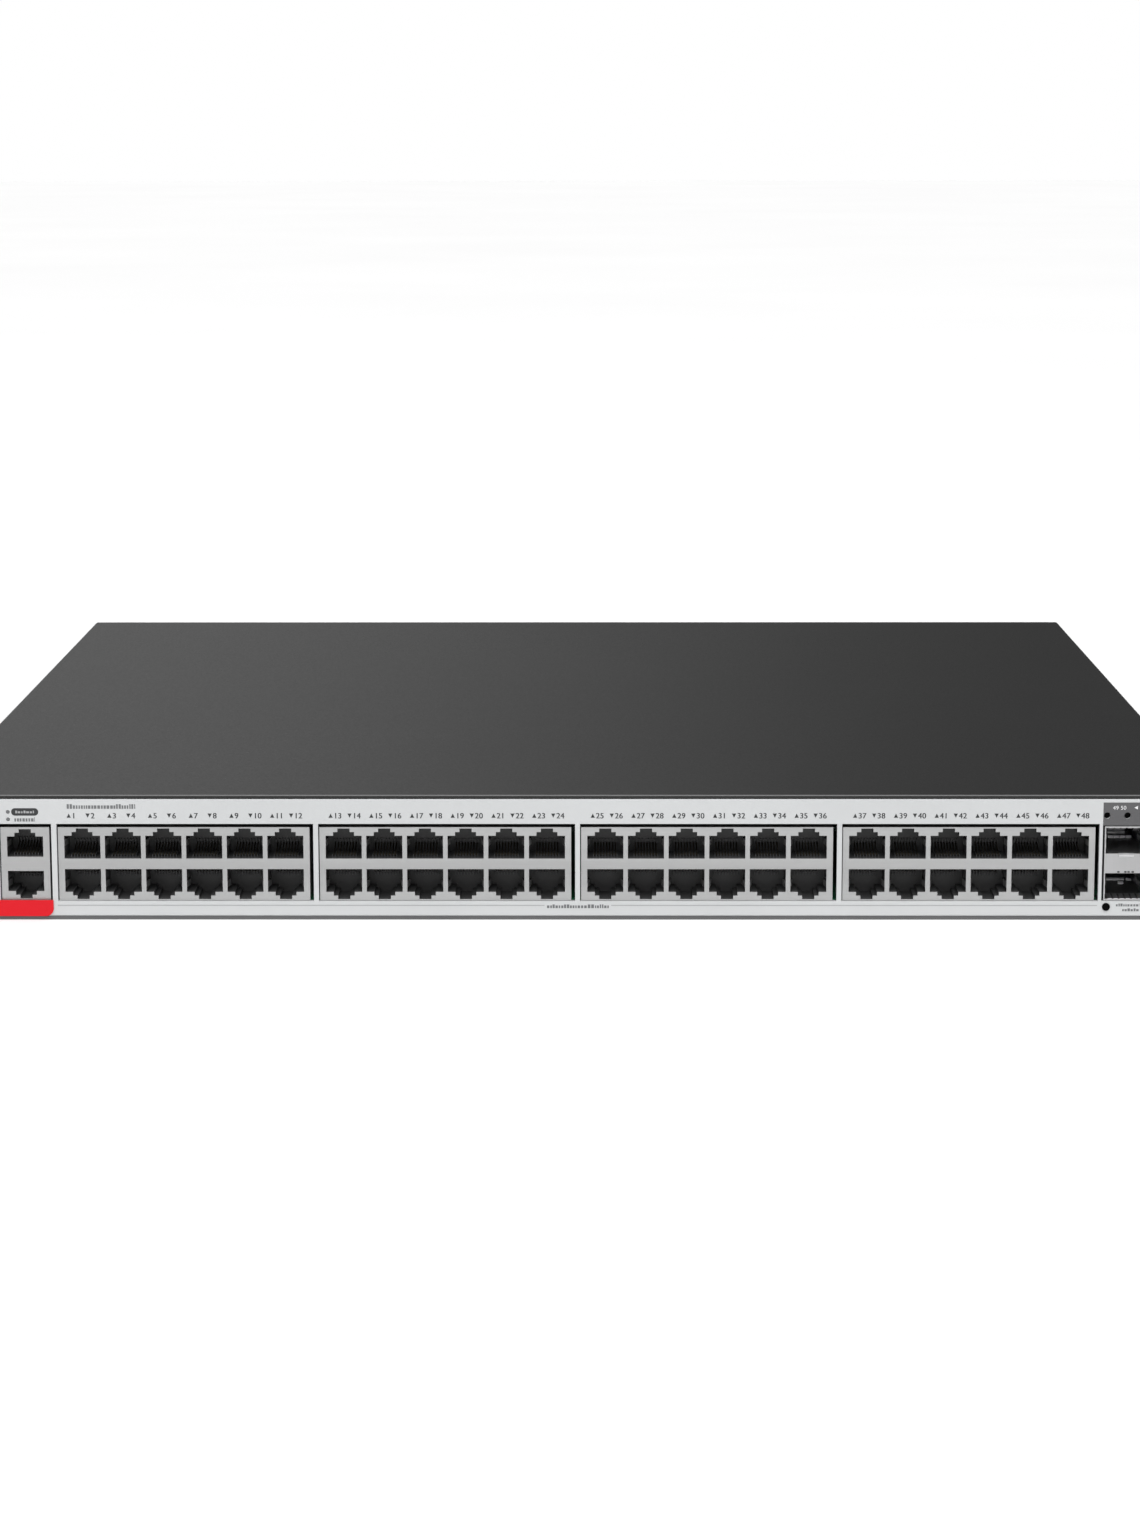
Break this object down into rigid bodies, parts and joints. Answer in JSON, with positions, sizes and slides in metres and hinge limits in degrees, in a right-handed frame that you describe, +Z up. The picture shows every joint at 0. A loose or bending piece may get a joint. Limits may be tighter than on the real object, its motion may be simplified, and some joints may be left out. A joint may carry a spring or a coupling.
{
  "type": "rackmount network switch",
  "caption": "Flat 19-inch rack switch with rows of modular jacks and optical cages in front, and slide-in power supplies and fans behind.",
  "frame": {"origin": "centre of the underside of the chassis, half way between the front face and the rear wall", "axes": "+X to the right as the ports are faced, +Y from the ports to the rear, +Z up"},
  "size_m": [0.4826, 0.4455, 0.0436],
  "materials": {
    "cover_paint": "dark grey fine-texture powder coat",
    "tray_steel": "dark grey powder-coated steel sheet",
    "panel_paint": "light silver-grey smooth paint",
    "badge_red": "glossy red plastic",
    "label_grey": "dark grey printed film",
    "ear_paint": "dark grey powder coat",
    "screw_steel": "zinc-plated steel",
    "screw_black": "black zinc-plated steel",
    "shield_nickel": "nickel-plated brass sheet",
    "jack_black": "black moulded nylon",
    "contact_gold": "gold-plated spring contacts",
    "cage_nickel": "nickel-plated cage sheet",
    "lamp_clear": "clear moulded light pipes",
    "lamp_lens": "frosted light-pipe ends",
    "button_black": "black moulded plastic",
    "switch_body": "black switch case",
    "board_green": "green solder mask",
    "chip_black": "black moulded chip packages",
    "standoff_brass": "turned brass",
    "sink_aluminium": "extruded aluminium",
    "connector_black": "black connector housings",
    "wall_steel": "galvanised steel sheet",
    "supply_steel": "galvanised steel sheet",
    "handle_steel": "black-coated steel wire",
    "latch_red": "red moulded plastic",
    "inlet_black": "black moulded plastic",
    "pin_brass": "nickel-plated brass blades",
    "fan_black": "black moulded plastic",
    "rotor_black": "black moulded plastic",
    "fan_tray_steel": "galvanised steel sheet",
    "knob_steel": "knurled plated steel"
  },
  "bodies": {
    "chassis": {"base_tray": "tray_steel", "top_cover": "cover_paint", "front_panel": "panel_paint", "model_badge": "badge_red", "uplink_label": "label_grey", "rack_ear_left": "ear_paint", "rack_ear_right": "ear_paint", "ear_screws": "screw_black", "cover_screws": "screw_black", "port_contacts": "contact_gold", "management_contacts": "contact_gold", "management_shield": "shield_nickel", "management_housing": "jack_black", "uplink_cage": "cage_nickel", "uplink_connectors": "connector_black", "port_light_pipes": "lamp_clear", "status_light_pipes": "lamp_lens", "mode_switch": "switch_body", "main_board": "board_green", "poe_board": "board_green", "backplane": "board_green", "board_standoffs": "standoff_brass", "board_screws": "screw_steel", "board_chips": "chip_black", "switch_heat_sink": "sink_aluminium", "small_heat_sinks": "sink_aluminium", "backplane_connectors": "connector_black", "bay_walls": "wall_steel", "ground_screw": "screw_steel", "port_shield_1": "shield_nickel", "port_housing_1": "jack_black", "port_shield_2": "shield_nickel", "port_housing_2": "jack_black", "port_shield_3": "shield_nickel", "port_housing_3": "jack_black", "port_shield_4": "shield_nickel", "port_housing_4": "jack_black"},
    "mode_button": {"mode_button": "button_black"},
    "supply_1": {"supply_1_case": "supply_steel", "supply_1_handle": "handle_steel", "supply_1_inlet": "inlet_black", "supply_1_inlet_pins": "pin_brass", "supply_1_board": "board_green", "supply_1_fan_frame": "fan_black"},
    "supply_1_rotor": {"supply_1_fan_rotor": "rotor_black"},
    "supply_1_lever": {"supply_1_latch": "latch_red"},
    "supply_2": {"supply_2_case": "supply_steel", "supply_2_handle": "handle_steel", "supply_2_inlet": "inlet_black", "supply_2_inlet_pins": "pin_brass", "supply_2_board": "board_green", "supply_2_fan_frame": "fan_black"},
    "supply_2_rotor": {"supply_2_fan_rotor": "rotor_black"},
    "supply_2_lever": {"supply_2_latch": "latch_red"},
    "fan_module": {"fan_tray": "fan_tray_steel", "tray_fan_a_frame": "fan_black", "tray_fan_b_frame": "fan_black"},
    "rotor_a": {"tray_fan_a_rotor": "rotor_black"},
    "rotor_b": {"tray_fan_b_rotor": "rotor_black"},
    "thumbscrew": {"tray_thumbscrew": "knob_steel"}
  },
  "joints": [
    {"name": "mode_button_press", "type": "slide", "parent": "chassis", "child": "mode_button", "axis": [0, 1, 0], "range_m": [0, 0.0005], "stiffness_N_per_m": 800, "springref_m": -0.0005},
    {"name": "supply_1_slide", "type": "slide", "parent": "chassis", "child": "supply_1", "axis": [0, 1, 0], "range_m": [0, 0.2]},
    {"name": "supply_1_latch_squeeze", "type": "hinge", "parent": "supply_1", "child": "supply_1_lever", "pos_m": [0.1122, 0.19, 0.0214], "axis": [0, 0, 1], "range_deg": [0, 6], "stiffness_Nm_per_rad": 0.5, "springref_deg": -2.86},
    {"name": "supply_1_fan_spin", "type": "hinge", "parent": "supply_1", "child": "supply_1_rotor", "pos_m": [0.0516, 0.196, 0.0214], "axis": [0, 1, 0], "continuous": true},
    {"name": "supply_2_slide", "type": "slide", "parent": "chassis", "child": "supply_2", "axis": [0, 1, 0], "range_m": [0, 0.2]},
    {"name": "supply_2_latch_squeeze", "type": "hinge", "parent": "supply_2", "child": "supply_2_lever", "pos_m": [0.2022, 0.19, 0.0214], "axis": [0, 0, 1], "range_deg": [0, 6], "stiffness_Nm_per_rad": 0.5, "springref_deg": -2.86},
    {"name": "supply_2_fan_spin", "type": "hinge", "parent": "supply_2", "child": "supply_2_rotor", "pos_m": [0.1416, 0.196, 0.0214], "axis": [0, 1, 0], "continuous": true},
    {"name": "fan_module_slide", "type": "slide", "parent": "chassis", "child": "fan_module", "axis": [0, 1, 0], "range_m": [0, 0.06]},
    {"name": "fan_a_spin", "type": "hinge", "parent": "fan_module", "child": "rotor_a", "pos_m": [-0.0606, 0.196, 0.0214], "axis": [0, 1, 0], "continuous": true},
    {"name": "fan_b_spin", "type": "hinge", "parent": "fan_module", "child": "rotor_b", "pos_m": [-0.0194, 0.196, 0.0214], "axis": [0, 1, 0], "continuous": true},
    {"name": "thumbscrew_turn", "type": "hinge", "parent": "fan_module", "child": "thumbscrew", "pos_m": [-0.091, 0.216, 0.0214], "axis": [0, 1, 0], "continuous": true}
  ]
}
